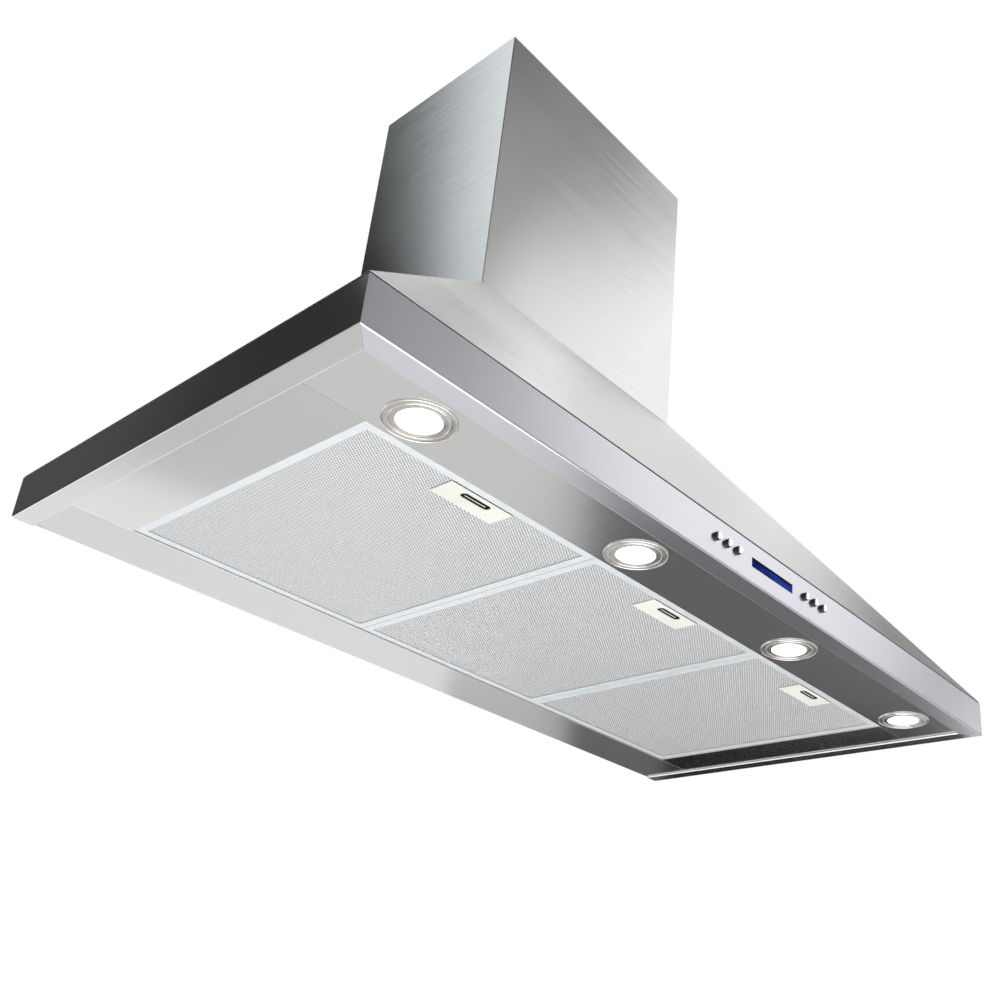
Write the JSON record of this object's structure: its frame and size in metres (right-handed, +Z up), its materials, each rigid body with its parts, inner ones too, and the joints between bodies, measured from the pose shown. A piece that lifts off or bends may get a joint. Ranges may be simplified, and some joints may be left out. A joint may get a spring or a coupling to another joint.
{
  "type": "canopy range hood",
  "caption": "Wall hung stainless steel canopy range hood with a telescopic chimney, drop down grease filters, downlights, push buttons, and a duct blower with a damper.",
  "frame": {"origin": "on the wall plane, at the middle of the canopy's bottom edge", "axes": "+X to the right seen from the front, +Y into the wall, +Z up"},
  "size_m": [1.2, 0.611, 0.917],
  "materials": {
    "brushed_steel": "horizontally brushed stainless steel, satin",
    "underside_steel": "fine brushed stainless steel",
    "galvanised_steel": "plain zinc coated sheet",
    "zinc_screw": "zinc plated",
    "filter_frame": "bright rolled aluminium",
    "filter_mesh": "expanded aluminium mesh",
    "latch_plastic": "cream moulded plastic",
    "latch_bar": "light moulded plastic",
    "lamp_chrome": "polished rings on a satin grey bezel",
    "lamp_lens": "frosted, lit white",
    "lamp_can": "die cast, ribbed",
    "spring_steel": "spring steel",
    "button_chrome": "polished",
    "display_glass": "deep blue back lit window",
    "black_plastic": "moulded",
    "circuit_board": "solder mask green",
    "blower_steel": "grey coated sheet",
    "impeller_metal": "pressed",
    "motor_metal": "dark painted",
    "shaft_steel": "ground steel",
    "damper_plastic": "moulded grey",
    "box_plastic": "moulded white"
  },
  "bodies": {
    "canopy": {"fascia_panel": "brushed_steel", "left_skirt": "brushed_steel", "right_skirt": "brushed_steel", "front_slope": "brushed_steel", "left_slope": "brushed_steel", "right_slope": "brushed_steel", "back_panel": "underside_steel", "blower_plate": "galvanised_steel", "light_panel": "underside_steel", "left_filler_panel": "underside_steel", "right_filler_panel": "underside_steel", "chimney_lower_cover": "brushed_steel", "mounting_screws": "zinc_screw", "lamp_1_bezel": "lamp_chrome", "lamp_1_lens": "lamp_lens", "lamp_2_bezel": "lamp_chrome", "lamp_2_lens": "lamp_lens", "lamp_3_bezel": "lamp_chrome", "lamp_3_lens": "lamp_lens", "lamp_4_bezel": "lamp_chrome", "lamp_4_lens": "lamp_lens", "lamp_cans": "lamp_can", "lamp_clips": "spring_steel", "display_window": "display_glass", "display_module": "black_plastic", "control_board": "circuit_board", "control_housing": "black_plastic", "blower_wrap": "blower_steel", "blower_left_side": "blower_steel", "blower_right_side": "blower_steel", "motor": "motor_metal", "motor_bracket": "galvanised_steel", "duct_spigot": "damper_plastic", "damper_pin": "shaft_steel", "power_box": "box_plastic", "cable_gland": "black_plastic"},
    "upper_chimney": {"chimney_upper_cover": "brushed_steel", "chimney_wall_bracket": "galvanised_steel"},
    "filter_1": {"filter_1_frame": "filter_frame", "filter_1_mesh": "filter_mesh", "filter_1_latch_plate": "latch_plastic"},
    "filter_1_latch": {"filter_1_latch_slider": "latch_bar"},
    "filter_2": {"filter_2_frame": "filter_frame", "filter_2_mesh": "filter_mesh", "filter_2_latch_plate": "latch_plastic"},
    "filter_2_latch": {"filter_2_latch_slider": "latch_bar"},
    "filter_3": {"filter_3_frame": "filter_frame", "filter_3_mesh": "filter_mesh", "filter_3_latch_plate": "latch_plastic"},
    "filter_3_latch": {"filter_3_latch_slider": "latch_bar"},
    "button_1_cap": {"button_1": "button_chrome"},
    "button_2_cap": {"button_2": "button_chrome"},
    "button_3_cap": {"button_3": "button_chrome"},
    "button_4_cap": {"button_4": "button_chrome"},
    "button_5_cap": {"button_5": "button_chrome"},
    "button_6_cap": {"button_6": "button_chrome"},
    "blower_wheel": {"impeller": "impeller_metal", "motor_shaft": "shaft_steel"},
    "damper_flap_front": {"damper_front": "damper_plastic"},
    "damper_flap_rear": {"damper_rear": "damper_plastic"}
  },
  "joints": [
    {"name": "chimney_raise", "type": "slide", "parent": "canopy", "child": "upper_chimney", "axis": [0, 0, 1], "range_m": [0, 0.4]},
    {"name": "filter_1_drop", "type": "hinge", "parent": "canopy", "child": "filter_1", "pos_m": [-0.33333, -0.0878, 0.004], "axis": [1, 0, 0], "range_deg": [0, 75]},
    {"name": "filter_1_unlatch", "type": "slide", "parent": "filter_1", "child": "filter_1_latch", "axis": [0, 1, 0], "range_m": [0, 0.003], "stiffness_N_per_m": 400, "springref_m": -0.002},
    {"name": "filter_2_drop", "type": "hinge", "parent": "canopy", "child": "filter_2", "pos_m": [0, -0.0878, 0.004], "axis": [1, 0, 0], "range_deg": [0, 75]},
    {"name": "filter_2_unlatch", "type": "slide", "parent": "filter_2", "child": "filter_2_latch", "axis": [0, 1, 0], "range_m": [0, 0.003], "stiffness_N_per_m": 400, "springref_m": -0.002},
    {"name": "filter_3_drop", "type": "hinge", "parent": "canopy", "child": "filter_3", "pos_m": [0.33333, -0.0878, 0.004], "axis": [1, 0, 0], "range_deg": [0, 75]},
    {"name": "filter_3_unlatch", "type": "slide", "parent": "filter_3", "child": "filter_3_latch", "axis": [0, 1, 0], "range_m": [0, 0.003], "stiffness_N_per_m": 400, "springref_m": -0.002},
    {"name": "button_1_press", "type": "slide", "parent": "canopy", "child": "button_1_cap", "axis": [0, 1, 0], "range_m": [0, 0.002], "stiffness_N_per_m": 500, "springref_m": -0.001},
    {"name": "button_2_press", "type": "slide", "parent": "canopy", "child": "button_2_cap", "axis": [0, 1, 0], "range_m": [0, 0.002], "stiffness_N_per_m": 500, "springref_m": -0.001},
    {"name": "button_3_press", "type": "slide", "parent": "canopy", "child": "button_3_cap", "axis": [0, 1, 0], "range_m": [0, 0.002], "stiffness_N_per_m": 500, "springref_m": -0.001},
    {"name": "button_4_press", "type": "slide", "parent": "canopy", "child": "button_4_cap", "axis": [0, 1, 0], "range_m": [0, 0.002], "stiffness_N_per_m": 500, "springref_m": -0.001},
    {"name": "button_5_press", "type": "slide", "parent": "canopy", "child": "button_5_cap", "axis": [0, 1, 0], "range_m": [0, 0.002], "stiffness_N_per_m": 500, "springref_m": -0.001},
    {"name": "button_6_press", "type": "slide", "parent": "canopy", "child": "button_6_cap", "axis": [0, 1, 0], "range_m": [0, 0.002], "stiffness_N_per_m": 500, "springref_m": -0.001},
    {"name": "impeller_spin", "type": "hinge", "parent": "canopy", "child": "blower_wheel", "pos_m": [0, -0.225, 0.3], "axis": [1, 0, 0], "continuous": true},
    {"name": "damper_front_swing", "type": "hinge", "parent": "canopy", "child": "damper_flap_front", "pos_m": [0, -0.145, 0.475], "axis": [-1, 0, 0], "range_deg": [0, 75]},
    {"name": "damper_rear_swing", "type": "hinge", "parent": "canopy", "child": "damper_flap_rear", "pos_m": [0, -0.145, 0.475], "axis": [1, 0, 0], "range_deg": [0, 75]}
  ]
}
